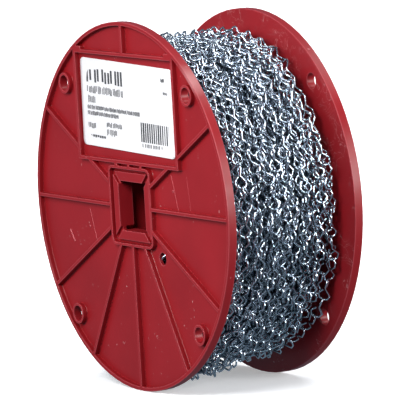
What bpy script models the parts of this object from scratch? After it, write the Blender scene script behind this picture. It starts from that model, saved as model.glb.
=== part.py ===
"""A red plastic reel wound with zinc plated single jack chain, standing on its two rims.

Run with blender --background --python part.py, or from the text editor.
Units are metres. The reel's axis lies along Y, the labelled flange faces -Y, and +Z is up.
"""

import math

import bmesh
import bpy
from mathutils import Matrix

# Driving dimensions of the reel
FLANGE_RADIUS = 0.106
REEL_WIDTH = 0.089
RIM_DEPTH = 0.0052
RIM_WALL = 0.0022
WEB_THICKNESS = 0.0022
RIB_THICKNESS = 0.0020
RIB_COUNT = 12

# The hub: a square barrel with rounded corners, which shows as a wall on each flange
HUB_WIDTH = 0.046
HUB_CORNER = 0.0045
HUB_WALL = 0.0016
ARBOR_WIDTH = 0.0285
ARBOR_TAB_WIDTH = 0.0245
ARBOR_TAB_HEIGHT = 0.0054
ARBOR_TAB_RECESS = 0.0012
ARBOR_TAB_REACH = 0.0105

# The label's pocket, by the middle of its four walls
POCKET_HALF_WIDTH = 0.054
POCKET_BOTTOM = 0.0254
POCKET_TOP = 0.0872
POCKET_CORNER_WIDTH = 0.0076

# Holes through each flange
TIE_HOLE_CIRCLE = 0.0955
TIE_HOLE_RADIUS = 0.0046
TIE_BOSS_RADIUS = 0.0061
TIE_HOLE_COUNT = 4
STARTER_HOLE_RADIUS = 0.00365
STARTER_HOLE_X = 0.028
STARTER_HOLE_Z = -0.028

# The paper label
LABEL_WIDTH = 0.1016
LABEL_HEIGHT = 0.0508
LABEL_CORNER = 0.0032
LABEL_THICKNESS = 0.0002
LABEL_X = -0.0008
LABEL_Z = 0.0569
LABEL_TILT = math.radians(-1.45)

# The wound chain
CHAIN_RADIUS = 0.096
CHAIN_TURNS = 14
CHAIN_LAYERS = 4
CHAIN_END_GROOVE = 0.0012

# Its outer turns: the grooves between them, and loops that lie flat or stand upright along each
CHAIN_GROOVE = 0.0052
FLAT_LOOP_DEPTH = 0.0022
FLAT_LOOP_SHARE = 0.38
UPRIGHT_LOOP_SHARE = 0.15

# How far its loose outer turns hang below the axis near each flange, and where that sag grows
SAG_BACK = 0.0010
SAG_FRONT = 0.0084
SAG_GROWS_FROM = -0.0110
SAG_GROWS_TO = 0.0080
SAG_FALLOFF = 3

# Fit and fineness
GAP = 0.0003
HALF_GAP = GAP / 2
OVERLAP = 0.0010
MERGE_DISTANCE = 0.00001
RIM_SEGMENTS = 84
CHAIN_SEGMENTS = 84
HOLE_SEGMENTS = 20
CORNER_STEPS = 4

# Values worked out from the driving dimensions, in a flange's own frame, where Z points outwards
RIM_PLANE = REEL_WIDTH / 2
WEB_INNER = RIM_PLANE - RIM_DEPTH
WEB_OUTER = WEB_INNER + WEB_THICKNESS
RIM_INNER_RADIUS = FLANGE_RADIUS - RIM_WALL
CHAIN_BORE = (HUB_WIDTH / 2 - HUB_CORNER) * math.sqrt(2) + HUB_CORNER + GAP
CHAIN_HALF = WEB_INNER - GAP
CHAIN_PITCH = 2 * CHAIN_HALF / CHAIN_TURNS
AXIS_HEIGHT = FLANGE_RADIUS * math.cos(math.pi / RIM_SEGMENTS)

RED_PLASTIC = ("red_plastic", (0.42, 0.018, 0.026, 1.0), 0.0, 0.36)
WHITE_PAPER = ("white_paper", (0.86, 0.86, 0.88, 1.0), 0.0, 0.6)
ZINC_PLATE = ("zinc_plate", (0.56, 0.60, 0.65, 1.0), 1.0, 0.28)


def clear_scene():
    for old in list(bpy.data.objects):
        bpy.data.objects.remove(old)


def new_collection(name):
    collection = bpy.data.collections.new(name)
    bpy.context.scene.collection.children.link(collection)
    return collection


def new_material(name, color, metallic, roughness):
    material = bpy.data.materials.new(name)
    material.use_nodes = True
    shader = material.node_tree.nodes["Principled BSDF"]
    shader.inputs["Base Color"].default_value = color
    shader.inputs["Metallic"].default_value = metallic
    shader.inputs["Roughness"].default_value = roughness
    material.diffuse_color = color
    return material


def place(mesh, name, collection):
    thing = bpy.data.objects.new(name, mesh)
    collection.objects.link(thing)
    return thing


def block(name, collection, center, size, angle=0.0):
    """A box turned by an angle about the reel's axis, before it is moved to its centre."""
    body = bmesh.new()
    scale = Matrix.Diagonal((*size, 1.0))
    matrix = Matrix.Translation(center) @ Matrix.Rotation(angle, 4, "Z") @ scale
    bmesh.ops.create_cube(body, size=1.0, matrix=matrix)
    mesh = bpy.data.meshes.new(name)
    body.to_mesh(mesh)
    body.free()
    return place(mesh, name, collection)


def drum(name, collection, radius, low, high, segments, x=0.0, y=0.0):
    """A cylinder along Z from low to high, with a flat of its outline at the bottom."""
    body = bmesh.new()
    turn = Matrix.Rotation(math.pi / segments - math.pi / 2, 4, "Z")
    matrix = Matrix.Translation((x, y, (low + high) / 2)) @ turn
    bmesh.ops.create_cone(body, cap_ends=True, segments=segments, radius1=radius, radius2=radius,
                          depth=high - low, matrix=matrix)
    mesh = bpy.data.meshes.new(name)
    body.to_mesh(mesh)
    body.free()
    return place(mesh, name, collection)


def rounded_rectangle(width, height, corner, x=0.0, y=0.0):
    """The outline's points, anticlockwise, with each corner an arc."""
    points = []
    for quarter, (side_x, side_y) in enumerate(((1, 1), (-1, 1), (-1, -1), (1, -1))):
        center_x = x + side_x * (width / 2 - corner)
        center_y = y + side_y * (height / 2 - corner)
        for step in range(CORNER_STEPS + 1):
            angle = math.pi / 2 * (quarter + step / CORNER_STEPS)
            points.append((center_x + corner * math.cos(angle), center_y + corner * math.sin(angle)))
    return points


def prism(name, collection, points, low, high):
    """A flat outline, filled and raised from low to high along Z."""
    curve = bpy.data.curves.new(name, "CURVE")
    curve.dimensions = "2D"
    curve.fill_mode = "BOTH"
    curve.extrude = (high - low) / 2
    spline = curve.splines.new("POLY")
    spline.points.add(len(points) - 1)
    for point, (x, y) in zip(spline.points, points):
        point.co = (x, y, 0.0, 1.0)
    spline.use_cyclic_u = True
    outline = bpy.data.objects.new(name, curve)
    collection.objects.link(outline)
    outline.location.z = (low + high) / 2
    mesh = baked_mesh(outline, name)
    bpy.data.objects.remove(outline)
    return place(mesh, name, collection)


def baked_mesh(thing, name):
    """The object's shape with its modifiers and place applied, and its loose caps welded."""
    bpy.context.view_layer.update()
    graph = bpy.context.evaluated_depsgraph_get()
    mesh = bpy.data.meshes.new_from_object(thing.evaluated_get(graph), depsgraph=graph)
    mesh.name = name
    mesh.transform(thing.matrix_world)
    body = bmesh.new()
    body.from_mesh(mesh)
    bmesh.ops.remove_doubles(body, verts=body.verts, dist=MERGE_DISTANCE)
    body.to_mesh(mesh)
    body.free()
    return mesh


def combine(thing, operation, collection):
    """Joins to the object, or cuts from it, everything in the collection."""
    modifier = thing.modifiers.new(operation.lower(), "BOOLEAN")
    modifier.operation = operation
    modifier.operand_type = "COLLECTION"
    modifier.collection = collection
    modifier.solver = "EXACT"


def rib_stretches(angle):
    """Where a rib at this angle runs, by distance from the axis: hub to rim, less the pocket."""
    start = HUB_WIDTH / 2 - HUB_WALL / 2
    end = RIM_INNER_RADIUS + OVERLAP
    across, up = math.cos(angle), math.sin(angle)
    to_side = POCKET_HALF_WIDTH / max(abs(across), 1e-9)
    to_bottom = POCKET_BOTTOM / up if up > 1e-9 else end
    to_top = POCKET_TOP / up if up > 1e-9 else end
    enters, leaves = to_bottom, min(to_side, to_top)
    if enters >= leaves:
        return [(start, end)]
    return [(start, enters), (leaves, end)]


def add_ribs(collection):
    rib_z = (RIM_PLANE + WEB_OUTER - OVERLAP) / 2
    rib_depth = RIM_PLANE - WEB_OUTER + OVERLAP
    for number in range(RIB_COUNT):
        angle = 2 * math.pi * number / RIB_COUNT
        for part, (start, end) in enumerate(rib_stretches(angle)):
            middle = (start + end) / 2
            center = (middle * math.cos(angle), middle * math.sin(angle), rib_z)
            size = (end - start, RIB_THICKNESS, rib_depth)
            block(f"rib_{number}_{part}", collection, center, size, angle)


def add_pocket_walls(collection):
    """Four walls round the label. The side walls and the upper corners run into the rim."""
    wall_z = (RIM_PLANE + WEB_OUTER - OVERLAP) / 2
    wall_depth = RIM_PLANE - WEB_OUTER + OVERLAP
    length = 2 * POCKET_HALF_WIDTH + RIB_THICKNESS
    rim_at_side = math.sqrt(RIM_INNER_RADIUS**2 - POCKET_HALF_WIDTH**2) + OVERLAP / 2
    side_bottom = POCKET_BOTTOM - RIB_THICKNESS / 2
    for name, y in (("pocket_bottom", POCKET_BOTTOM), ("pocket_top", POCKET_TOP)):
        block(name, collection, (0.0, y, wall_z), (length, RIB_THICKNESS, wall_depth))
    for name, side in (("left", -1), ("right", 1)):
        center = (side * POCKET_HALF_WIDTH, (side_bottom + rim_at_side) / 2, wall_z)
        size = (RIB_THICKNESS, rim_at_side - side_bottom, wall_depth)
        block(f"pocket_{name}", collection, center, size)
        corner_x = side * (POCKET_HALF_WIDTH - POCKET_CORNER_WIDTH / 2)
        corner_size = (POCKET_CORNER_WIDTH, 2 * (rim_at_side - POCKET_TOP), wall_depth)
        block(f"pocket_corner_{name}", collection, (corner_x, rim_at_side - OVERLAP, wall_z), corner_size)


def tie_hole_centers():
    for number in range(TIE_HOLE_COUNT):
        angle = 2 * math.pi * (number + 0.5) / TIE_HOLE_COUNT
        yield TIE_HOLE_CIRCLE * math.cos(angle), TIE_HOLE_CIRCLE * math.sin(angle)


def add_bosses(collection):
    for number, (x, y) in enumerate(tie_hole_centers()):
        drum(f"boss_{number}", collection, TIE_BOSS_RADIUS, WEB_OUTER - OVERLAP, RIM_PLANE,
             HOLE_SEGMENTS, x, y)


def add_arbor_tabs(collection):
    """Four tapered tabs round the square arbor hole, with open corners between them."""
    low, high = RIM_PLANE - ARBOR_TAB_REACH, RIM_PLANE - ARBOR_TAB_RECESS
    inner, outer = ARBOR_WIDTH / 2, ARBOR_WIDTH / 2 + ARBOR_TAB_HEIGHT
    narrow, wide = ARBOR_TAB_WIDTH / 2, ARBOR_TAB_WIDTH / 2 + ARBOR_TAB_HEIGHT
    tab = [(-narrow, inner), (narrow, inner), (wide, outer), (-wide, outer)]
    for number in range(4):
        prism(f"arbor_tab_{number}", collection, tab, low, high)
        tab = [(-y, x) for x, y in tab]


def flange_mesh():
    """One moulded half of the reel: rim, web, ribs, pocket walls, bosses and half of the barrel."""
    solids = new_collection("flange_solids")
    hollows = new_collection("flange_hollows")
    details = new_collection("flange_details")
    holes = new_collection("flange_holes")
    clear = OVERLAP

    body = drum("flange_body", solids, FLANGE_RADIUS, WEB_INNER, RIM_PLANE, RIM_SEGMENTS)
    drum("web_recess", hollows, RIM_INNER_RADIUS, WEB_OUTER, RIM_PLANE + clear, RIM_SEGMENTS)
    combine(body, "DIFFERENCE", hollows)

    add_ribs(details)
    add_pocket_walls(details)
    add_bosses(details)
    hub = rounded_rectangle(HUB_WIDTH, HUB_WIDTH, HUB_CORNER)
    prism("hub", details, hub, HALF_GAP, RIM_PLANE)
    combine(body, "UNION", details)

    inner_width = HUB_WIDTH - 2 * HUB_WALL
    inside = rounded_rectangle(inner_width, inner_width, HUB_CORNER - HUB_WALL)
    prism("hub_mouth", holes, inside, WEB_OUTER, RIM_PLANE + clear)
    prism("barrel_inside", holes, inside, HALF_GAP - clear, WEB_INNER)
    for number, (x, y) in enumerate(tie_hole_centers()):
        drum(f"tie_hole_{number}", holes, TIE_HOLE_RADIUS, WEB_INNER - clear, RIM_PLANE + clear,
             HOLE_SEGMENTS, x, y)
    drum("starter_hole", holes, STARTER_HOLE_RADIUS, WEB_INNER - clear, RIM_PLANE, HOLE_SEGMENTS,
         STARTER_HOLE_X, STARTER_HOLE_Z)
    combine(body, "DIFFERENCE", holes)

    tabs = new_collection("arbor_tabs")
    add_arbor_tabs(tabs)
    combine(body, "UNION", tabs)

    arbor = new_collection("arbor_hole")
    block("arbor", arbor, (0.0, 0.0, WEB_INNER), (ARBOR_WIDTH, ARBOR_WIDTH, 4 * RIM_DEPTH))
    combine(body, "DIFFERENCE", arbor)

    mesh = baked_mesh(body, "flange")
    for helper in (solids, hollows, details, holes, tabs, arbor):
        for thing in list(helper.objects):
            bpy.data.objects.remove(thing)
        bpy.data.collections.remove(helper)
    return mesh


def chain_profile():
    """The wound chain's section, from the bore round its outer turns and back.

    Each point is its distance from the axis, and its height along it.
    """
    groove = CHAIN_RADIUS - CHAIN_GROOVE
    layer = (groove - CHAIN_BORE) / CHAIN_LAYERS
    end = []
    for number in range(CHAIN_LAYERS):
        end.append((CHAIN_BORE + layer * number, CHAIN_HALF - CHAIN_END_GROOVE))
        end.append((CHAIN_BORE + layer * (number + 0.5), CHAIN_HALF))
    side = [(groove, CHAIN_HALF - CHAIN_END_GROOVE)]
    for number in range(CHAIN_TURNS):
        middle = CHAIN_HALF - CHAIN_PITCH * (number + 0.5)
        side.append((CHAIN_RADIUS, middle + CHAIN_PITCH / 4))
        side.append((CHAIN_RADIUS, middle - CHAIN_PITCH / 4))
        side.append((groove, middle - CHAIN_PITCH / 2))
    side[-1] = (groove, CHAIN_END_GROOVE - CHAIN_HALF)
    return end + side + [(r, -z) for r, z in reversed(end)]


def turned_ring(name, collection, profile, segments):
    """A closed section turned about Z."""
    mesh = bpy.data.meshes.new(name)
    count = len(profile)
    edges = [(number, (number + 1) % count) for number in range(count)]
    mesh.from_pydata([(r, 0.0, z) for r, z in profile], edges, [])
    ring = place(mesh, name, collection)
    screw = ring.modifiers.new("turn", "SCREW")
    screw.axis = "Z"
    screw.steps = segments
    screw.render_steps = segments
    screw.use_merge_vertices = True
    screw.merge_threshold = MERGE_DISTANCE
    screw.use_smooth_shade = False
    return ring


def make_reel(parts, axis):
    red = new_material(*RED_PLASTIC)
    mesh = flange_mesh()
    mesh.materials.append(red)
    mesh.shade_smooth()
    mesh.set_sharp_from_angle(angle=math.radians(30))
    for name, heading in (("front_flange", 0.0), ("back_flange", math.pi)):
        flange = place(mesh, name, parts)
        flange.parent = axis
        flange.rotation_euler = (math.pi / 2, 0.0, heading)


def make_label(parts, axis):
    across, up = math.cos(LABEL_TILT), math.sin(LABEL_TILT)
    outline = []
    for x, y in rounded_rectangle(LABEL_WIDTH, LABEL_HEIGHT, LABEL_CORNER):
        outline.append((LABEL_X + x * across - y * up, LABEL_Z + x * up + y * across))
    low = WEB_OUTER + GAP
    label = prism("label", parts, outline, low, low + LABEL_THICKNESS)
    label.data.materials.append(new_material(*WHITE_PAPER))
    label.parent = axis
    label.rotation_euler.x = math.pi / 2


def shape_loops(mesh):
    """Makes each outer turn a row of loops, wide and low or narrow and high by turns."""
    crest = CHAIN_RADIUS - MERGE_DISTANCE
    for vertex in mesh.vertices:
        x, y, z = vertex.co
        if math.hypot(x, y) < crest:
            continue
        turn = math.floor((CHAIN_HALF - z) / CHAIN_PITCH)
        middle = CHAIN_HALF - CHAIN_PITCH * (turn + 0.5)
        segment = round(math.atan2(y, x) / (2 * math.pi / CHAIN_SEGMENTS))
        upright = (segment + turn) % 2 == 0
        share = UPRIGHT_LOOP_SHARE if upright else FLAT_LOOP_SHARE
        radius = CHAIN_RADIUS if upright else CHAIN_RADIUS - FLAT_LOOP_DEPTH
        vertex.co.x = x * radius / CHAIN_RADIUS
        vertex.co.y = y * radius / CHAIN_RADIUS
        vertex.co.z = middle + math.copysign(share * CHAIN_PITCH, z - middle)


def let_sag(mesh):
    """Lets the outer turns hang away from the axis below it, most near the labelled flange."""
    for vertex in mesh.vertices:
        x, y, z = vertex.co
        distance = math.hypot(x, y)
        share = min(max((z - SAG_GROWS_FROM) / (SAG_GROWS_TO - SAG_GROWS_FROM), 0.0), 1.0)
        hang = SAG_BACK + (SAG_FRONT - SAG_BACK) * share * share * (3 - 2 * share)
        below = max(-y / distance, 0.0)
        loose = max(distance - CHAIN_BORE, 0.0) / (CHAIN_RADIUS - CHAIN_BORE)
        drop = hang * (below * loose) ** SAG_FALLOFF
        vertex.co.x = x * (1 + drop / distance)
        vertex.co.y = y * (1 + drop / distance)


def make_chain(parts, axis):
    ring = turned_ring("chain_ring", parts, chain_profile(), CHAIN_SEGMENTS)
    mesh = baked_mesh(ring, "chain")
    bpy.data.objects.remove(ring)
    shape_loops(mesh)
    let_sag(mesh)
    chain = place(mesh, "chain", parts)
    chain.data.materials.append(new_material(*ZINC_PLATE))
    chain.parent = axis
    chain.rotation_euler.x = math.pi / 2


def main():
    clear_scene()
    parts = new_collection("reel_of_jack_chain")
    axis = bpy.data.objects.new("reel_axis", None)
    parts.objects.link(axis)
    axis.location.z = AXIS_HEIGHT
    make_reel(parts, axis)
    make_label(parts, axis)
    make_chain(parts, axis)
    bpy.context.view_layer.update()


main()
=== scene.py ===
"""The looks of a red plastic reel wound with zinc plated single jack chain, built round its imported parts.

The file is laid out as an add-on: one operator for each piece or group of like pieces, one for the studio,
and a panel in the 3D view's sidebar that lists them. Units are metres, the reel's axis lies along Y, the
labelled flange faces -Y, and +Z is up.
"""

import math
from random import Random

import bmesh
import bpy
from bpy.props import FloatProperty, FloatVectorProperty, IntProperty, PointerProperty
from mathutils import Matrix, Vector
from mathutils.geometry import delaunay_2d_cdt


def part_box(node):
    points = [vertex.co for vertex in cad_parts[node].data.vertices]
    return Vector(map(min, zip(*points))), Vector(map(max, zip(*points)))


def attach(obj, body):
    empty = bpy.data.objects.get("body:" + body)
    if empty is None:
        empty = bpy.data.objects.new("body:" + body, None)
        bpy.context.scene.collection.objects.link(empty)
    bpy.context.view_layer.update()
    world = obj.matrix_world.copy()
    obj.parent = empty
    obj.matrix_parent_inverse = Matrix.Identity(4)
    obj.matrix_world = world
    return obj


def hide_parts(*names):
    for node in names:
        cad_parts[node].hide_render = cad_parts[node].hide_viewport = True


bl_info = {
    "name": "Reel of Jack Chain",
    "version": (1, 0, 0),
    "blender": (4, 5, 0),
    "location": "View3D > Sidebar > Chain Reel",
    "description": "Builds a moulded plastic reel wound with zinc plated jack chain",
    "category": "Object",
}

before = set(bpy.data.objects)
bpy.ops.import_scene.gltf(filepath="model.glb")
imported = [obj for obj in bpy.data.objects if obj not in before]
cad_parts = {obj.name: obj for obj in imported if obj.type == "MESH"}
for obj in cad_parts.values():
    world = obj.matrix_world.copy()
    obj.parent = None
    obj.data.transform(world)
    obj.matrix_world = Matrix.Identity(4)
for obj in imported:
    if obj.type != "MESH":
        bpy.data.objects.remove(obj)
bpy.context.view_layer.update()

BODY = "root"
MM = 0.001

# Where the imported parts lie
FRONT_LOW, FRONT_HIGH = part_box("front_flange")
CHAIN_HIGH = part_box("chain")[1]
LABEL_LOW, LABEL_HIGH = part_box("label")
AXIS_HEIGHT = (FRONT_LOW.z + FRONT_HIGH.z) / 2
CHAIN_RADIUS = CHAIN_HIGH.x
WINDING_HALF = CHAIN_HIGH.y

# The label's own size, and its slant in its pocket
LABEL_WIDTH = 101.6 * MM
LABEL_HEIGHT = 50.8 * MM
LABEL_THICKNESS = 0.2 * MM
LABEL_TILT = math.radians(-1.45)
LABEL_PLACE = Matrix.Translation((LABEL_LOW + LABEL_HIGH) / 2) @ Matrix.Rotation(-LABEL_TILT, 4, "Y")

# Where the sag of the loose turns grows, between the far flange and the labelled one
SAG_GROWS_FROM = 11.0 * MM
SAG_GROWS_TO = -8.0 * MM
SAG_FALLOFF = 3.0

# The hollow middle of the bed of buried turns
CORE_BORE = 32.0 * MM

# The flanges' faces, and the painted highlight on the labelled one's rim: its middle, how far it reaches, and
# how deep the rim is, from its foot to its edge
WEB_FACE = -41.5 * MM
FLANGE_RADIUS = FRONT_HIGH.x
FLANGE_INNER_FACE = 39.3 * MM
FACE_TOLERANCE = 0.1 * MM
PAINTED_HIGHLIGHT_SPOT = (72.3 * MM, FRONT_LOW.y, AXIS_HEIGHT + 76.2 * MM)
HIGHLIGHT_REACH, HIGHLIGHT_MIDDLE, HIGHLIGHT_PALENESS = 13.0 * MM, 3.0 * MM, 0.32
RIM_FOOT, RIM_EDGE = 2.6 * MM, 1.6 * MM

# The relief that the materials give: of skin, plate and paper, and of the buried wires
FINE_RELIEF = 0.02 * MM
WIRE_RELIEF = 1.2 * MM

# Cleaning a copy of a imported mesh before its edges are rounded
LOOSE_MERGE = 0.002 * MM
SLIVER_MERGE = 0.25 * MM
FLAT_ANGLE = math.radians(0.5)
EDGE_ANGLE = math.radians(25)

# Cutting the flat faces into triangles
MANY_CORNERS = 5
INSIDE_ONLY = 1
CUT_TOLERANCE = 0.0001 * MM


# Building node trees


def set_inputs(tree, node, inputs):
    """Sets or links the inputs of a node, by their name or number."""
    for key, value in inputs.items():
        if isinstance(value, bpy.types.NodeSocket):
            tree.links.new(value, node.inputs[key])
        else:
            node.inputs[key].default_value = value


def add_node(tree, kind, inputs=None, **settings):
    """Adds a node with its settings and its inputs."""
    node = tree.nodes.new(kind)
    for name, value in settings.items():
        setattr(node, name, value)
    set_inputs(tree, node, inputs or {})
    return node


def put(tree, kind, inputs=None, **settings):
    """Adds a node, and returns its first output."""
    return add_node(tree, kind, inputs, **settings).outputs[0]


def calc(tree, operation, *values):
    """One sum of a node tree, from numbers and sockets."""
    return put(tree, "ShaderNodeMath", dict(enumerate(values)), operation=operation)


def new_tree(name, sizes):
    """A Geometry Nodes tree with a geometry going in and out, and the named inputs of each kind."""
    tree = bpy.data.node_groups.new(name, "GeometryNodeTree")
    for in_out in ("INPUT", "OUTPUT"):
        tree.interface.new_socket("Geometry", in_out=in_out, socket_type="NodeSocketGeometry")
    for kind, labels in sizes.items():
        for label in labels:
            tree.interface.new_socket(label, in_out="INPUT", socket_type=kind)
    return tree


def add_tree(thing, tree, values):
    """Puts the tree on the object as a modifier, with each input set by its socket's identifier."""
    modifier = thing.modifiers.new(tree.name, "NODES")
    modifier.node_group = tree
    sockets = {item.name: item.identifier for item in tree.interface.items_tree if item.in_out == "INPUT"}
    for name, value in values.items():
        modifier[sockets[name]] = value


def random_number(tree, seed, low=0.0, high=1.0):
    """A random number from low to high for each element."""
    node = add_node(tree, "FunctionNodeRandomValue", {2: low, 3: high, "Seed": seed}, data_type="FLOAT")
    return node.outputs[1]


def finish_tree(tree, geometry, sizes, smooth=False):
    """Ends the tree: its instances become one mesh, which gets the shading and the material."""
    real = put(tree, "GeometryNodeRealizeInstances", {"Geometry": geometry})
    shaded = put(tree, "GeometryNodeSetShadeSmooth", {"Geometry": real, "Shade Smooth": smooth})
    dressed = put(tree, "GeometryNodeSetMaterial", {"Geometry": shaded, "Material": sizes["Material"]})
    add_node(tree, "NodeGroupOutput", {0: dressed})


# Building meshes


def link_object(name, data):
    thing = bpy.data.objects.new(name, data)
    bpy.context.scene.collection.objects.link(thing)
    return thing


def object_from(name, body):
    """An object in the scene, with the mesh that was built."""
    mesh = bpy.data.meshes.new(name)
    body.to_mesh(mesh)
    body.free()
    return link_object(name, mesh)



def bake(thing):
    """Turns an object with modifiers into a plain mesh, with its modifiers gone."""
    bpy.context.view_layer.update()
    graph = bpy.context.evaluated_depsgraph_get()
    mesh = bpy.data.meshes.new_from_object(thing.evaluated_get(graph), depsgraph=graph)
    thing.modifiers.clear()
    thing.data = mesh
    mesh.name = thing.name
    return thing


def give_material(thing, material):
    thing.data.materials.clear()
    thing.data.materials.append(material)


def finish_piece(thing, slot, *nodes):
    """Puts the piece on its body and hides the imported parts that it stands for; the slot is not used."""
    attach(thing, BODY)
    if nodes:
        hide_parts(*nodes)


# Materials


def new_material(name, look, settings):
    """A material whose shader takes what its look works out from the object's coordinates."""
    material = bpy.data.materials.new(name)
    material.use_nodes = True
    tree = material.node_tree
    place = add_node(tree, "ShaderNodeTexCoord").outputs["Object"]
    set_inputs(tree, tree.nodes["Principled BSDF"], look(tree, place, settings))
    return material


def rgba(color, share=1.0, lift=0.0):
    """A colour for a node, made darker or paler."""
    return (*[channel * share + lift for channel in color], 1.0)


def mix_colors(tree, amount, first, second):
    return add_node(tree, "ShaderNodeMix", {0: amount, 6: first, 7: second}, data_type="RGBA").outputs[2]


def ramp(tree, value, low, high, floor=0.0, ceiling=1.0):
    """Stretches what lies from low to high over what lies from floor to ceiling."""
    return put(tree, "ShaderNodeMapRange", {
        "Value": value, "From Min": low, "From Max": high, "To Min": floor, "To Max": ceiling,
    }, clamp=True)


def noise(tree, place, scale, detail=2.0, roughness=0.5):
    """Soft clouds from 0 to 1, as many in a metre as the scale says."""
    return put(tree, "ShaderNodeTexNoise", {
        "Vector": place, "Scale": scale, "Detail": detail, "Roughness": roughness,
    })


def bump(tree, height, distance, strength=1.0):
    return put(tree, "ShaderNodeBump", {"Height": height, "Distance": distance, "Strength": strength})


def distance_from(tree, place, spot):
    offset = put(tree, "ShaderNodeVectorMath", {0: place, 1: spot}, operation="SUBTRACT")
    return add_node(tree, "ShaderNodeVectorMath", {0: offset}, operation="LENGTH").outputs["Value"]


def chain_scratches(tree, place):
    """Wispy scratches on the flanges' inner faces, where the loose turns rub: how pale each point is."""
    warped = put(tree, "ShaderNodeTexNoise", {"Vector": place, "Scale": 130.0, "Distortion": 1.2})
    off_line = calc(tree, "ABSOLUTE", calc(tree, "SUBTRACT", warped, 0.5))
    lines = ramp(tree, off_line, 0.014, 0.002)
    patches = ramp(tree, noise(tree, place, 55.0), 0.52, 0.64, 0.0, 0.5)
    across = calc(tree, "ABSOLUTE", add_node(tree, "ShaderNodeSeparateXYZ", {0: place}).outputs["Y"])
    inner_face = calc(tree, "COMPARE", across, FLANGE_INNER_FACE, FACE_TOLERANCE)
    return calc(tree, "MULTIPLY", calc(tree, "MULTIPLY", lines, patches), inner_face)


def painted_rim_highlight(tree, place):
    """A painted highlight on the labelled flange's rim, upper right: how pale each point is."""
    from_axis = distance_from(tree, place, (0.0, PAINTED_HIGHLIGHT_SPOT[1], AXIS_HEIGHT))
    on_rim = ramp(tree, from_axis, FLANGE_RADIUS - RIM_FOOT, FLANGE_RADIUS - RIM_EDGE)
    from_spot = distance_from(tree, place, PAINTED_HIGHLIGHT_SPOT)
    near = ramp(tree, from_spot, HIGHLIGHT_REACH, HIGHLIGHT_MIDDLE, 0.0, HIGHLIGHT_PALENESS)
    return calc(tree, "MULTIPLY", on_rim, near)


def open_share(tree, distance, inside=False):
    """How open each point lies to the air, or with inside on, how far it lies from an outward corner."""
    return add_node(tree, "ShaderNodeAmbientOcclusion", {"Distance": distance},
                    samples=12, only_local=True, inside=inside).outputs["AO"]


def plastic_look(tree, place, settings):
    """Moulded red plastic: faint flow clouding, a fine skin, scuffs and scratches that catch the light,
    painted highlights, and painted shade in its corners.
    """
    pale = rgba(settings.scuff_and_highlight_color)
    clouds = ramp(tree, noise(tree, place, 22.0, 3.0), 0.35, 0.65)
    flowed = mix_colors(tree, clouds, rgba(settings.plastic_color, 0.86), rgba(settings.plastic_color))
    specks = ramp(tree, noise(tree, place, 420.0, 2.0, 0.6), 0.705, 0.74, 0.0, 0.5)
    patches = ramp(tree, noise(tree, place, 30.0, 1.0), 0.5, 0.62)
    speckled = mix_colors(tree, calc(tree, "MULTIPLY", specks, patches), flowed, pale)
    # Painted highlight on the labelled rim's upper right, in the pale scuff colour.
    rim_highlighted = mix_colors(tree, painted_rim_highlight(tree, place), speckled, pale)
    scratched = mix_colors(tree, chain_scratches(tree, place), rim_highlighted, pale)
    # Outward corners turn paler: rubbed wear, and with it a painted highlight along the crests.
    wear_and_highlight = ramp(tree, open_share(tree, settings.wear_and_highlight_width, inside=True), 0.95, 0.6, 0.0, settings.wear_and_highlight)
    worn = mix_colors(tree, wear_and_highlight, scratched, rgba(settings.wear_and_highlight_color))
    # Painted shade: the plastic darkens and loses its pale sheen in corners and hollows.
    clear_of_corner_shade = ramp(tree, open_share(tree, settings.painted_corner_shade_width), 0.25, 0.95)
    gloss = settings.gloss
    skin = calc(tree, "ADD", noise(tree, place, 1400.0), noise(tree, place, 160.0))
    return {
        "Base Color": mix_colors(tree, clear_of_corner_shade, rgba(settings.painted_corner_shade_color), worn),
        "Roughness": ramp(tree, noise(tree, place, 60.0, 4.0), 0.3, 0.7, gloss - 0.05, gloss + 0.07),
        "Specular IOR Level": 0.26,
        "Normal": bump(tree, skin, FINE_RELIEF, 0.6),
    }


def zinc_look(tree, place, settings):
    """Bright zinc plate on steel wire, each link a little darker or lighter, and painted shade where it lies
    deep.
    """
    tone = add_node(tree, "ShaderNodeAttribute", attribute_name="tone").outputs["Fac"]
    cloudy = ramp(tree, noise(tree, place, 240.0, 3.0), 0.3, 0.7, 0.7, 1.0)
    depth_shaded_mix = calc(tree, "MULTIPLY", tone, cloudy)
    gloss = settings.zinc_gloss
    return {
        "Metallic": 1.0,
        # Painted shade: the deeper the layer, the nearer its links come to the dark zinc colour.
        "Base Color": mix_colors(tree, depth_shaded_mix, rgba(settings.painted_deep_shade_color), rgba(settings.zinc_color)),
        "Roughness": ramp(tree, noise(tree, place, 500.0), 0.3, 0.7, gloss - 0.06, gloss + 0.08),
        "Normal": bump(tree, noise(tree, place, 1800.0), FINE_RELIEF, 0.5),
    }


def buried_look(tree, place, settings):
    """The bed of wire under the turns that show, painted dark as shade, and darker still between its wires.
    """
    cells = put(tree, "ShaderNodeTexVoronoi", {"Vector": place, "Scale": 260.0}, feature="DISTANCE_TO_EDGE")
    gaps = ramp(tree, cells, 0.02, 0.16)
    return {
        "Metallic": 1.0,
        # Painted shade: the whole bed is dark, and darkest in the gaps between its wires.
        "Base Color": mix_colors(tree, gaps, rgba(settings.painted_deep_shade_color, 2.0), rgba(settings.painted_deep_shade_color, 0.2)),
        "Roughness": 0.45,
        "Normal": bump(tree, calc(tree, "SUBTRACT", 1.0, gaps), WIRE_RELIEF),
    }


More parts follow.
